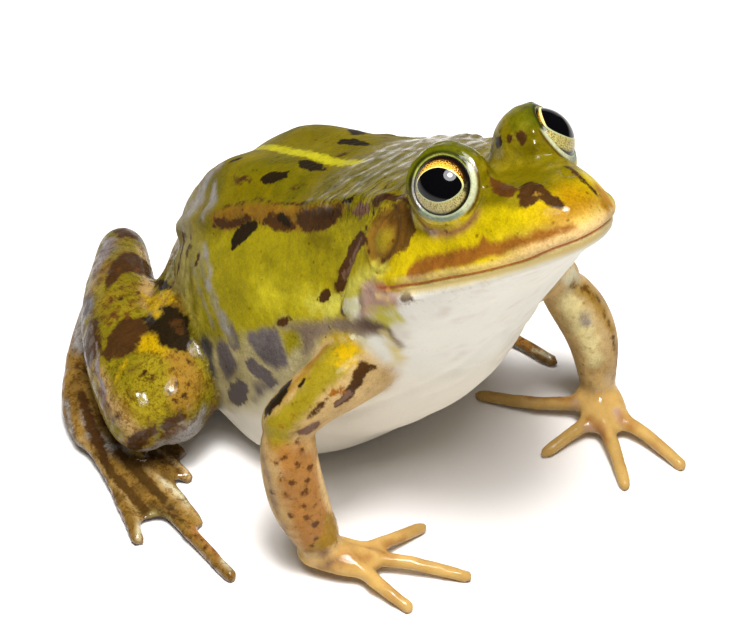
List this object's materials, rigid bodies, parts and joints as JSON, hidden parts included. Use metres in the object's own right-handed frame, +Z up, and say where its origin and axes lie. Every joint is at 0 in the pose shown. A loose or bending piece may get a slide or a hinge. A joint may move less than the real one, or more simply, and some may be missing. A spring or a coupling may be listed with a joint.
{
  "type": "pool frog",
  "caption": "Still, life-size sitting green frog, head raised, arms planted and hind legs folded; back ridges, webbed hind feet and bulging eyes.",
  "frame": {"origin": "middle of the footprint, on the floor", "axes": "+Z up; the frog faces -Y, and its left side is towards +X"},
  "size_m": [0.0508, 0.0618, 0.0442],
  "materials": {
    "back_skin": "wet, olive and yellow-green with dark spots",
    "throat_skin": "wet, cream white",
    "arm_skin": "wet, yellow-green to tan with brown specks",
    "hand_skin": "wet, pale tan",
    "leg_skin": "wet, olive with brown bars",
    "foot_skin": "wet, ochre brown",
    "eardrum": "smooth, brown",
    "eye": "glossy, black pupil in a gold iris"
  },
  "bodies": {
    "root": {"head": "back_skin", "lower_jaw": "throat_skin", "torso": "back_skin", "eye_right": "eye", "tympanum_right": "eardrum", "eye_left": "eye", "tympanum_left": "eardrum", "upper_arm_right": "arm_skin", "forearm_right": "arm_skin", "hand_right": "hand_skin", "thigh_right": "leg_skin", "shank_right": "leg_skin", "tarsus_right": "foot_skin", "foot_right": "foot_skin", "upper_arm_left": "arm_skin", "forearm_left": "arm_skin", "hand_left": "hand_skin", "thigh_left": "leg_skin", "shank_left": "leg_skin", "tarsus_left": "foot_skin", "foot_left": "foot_skin"}
  },
  "joints": []
}
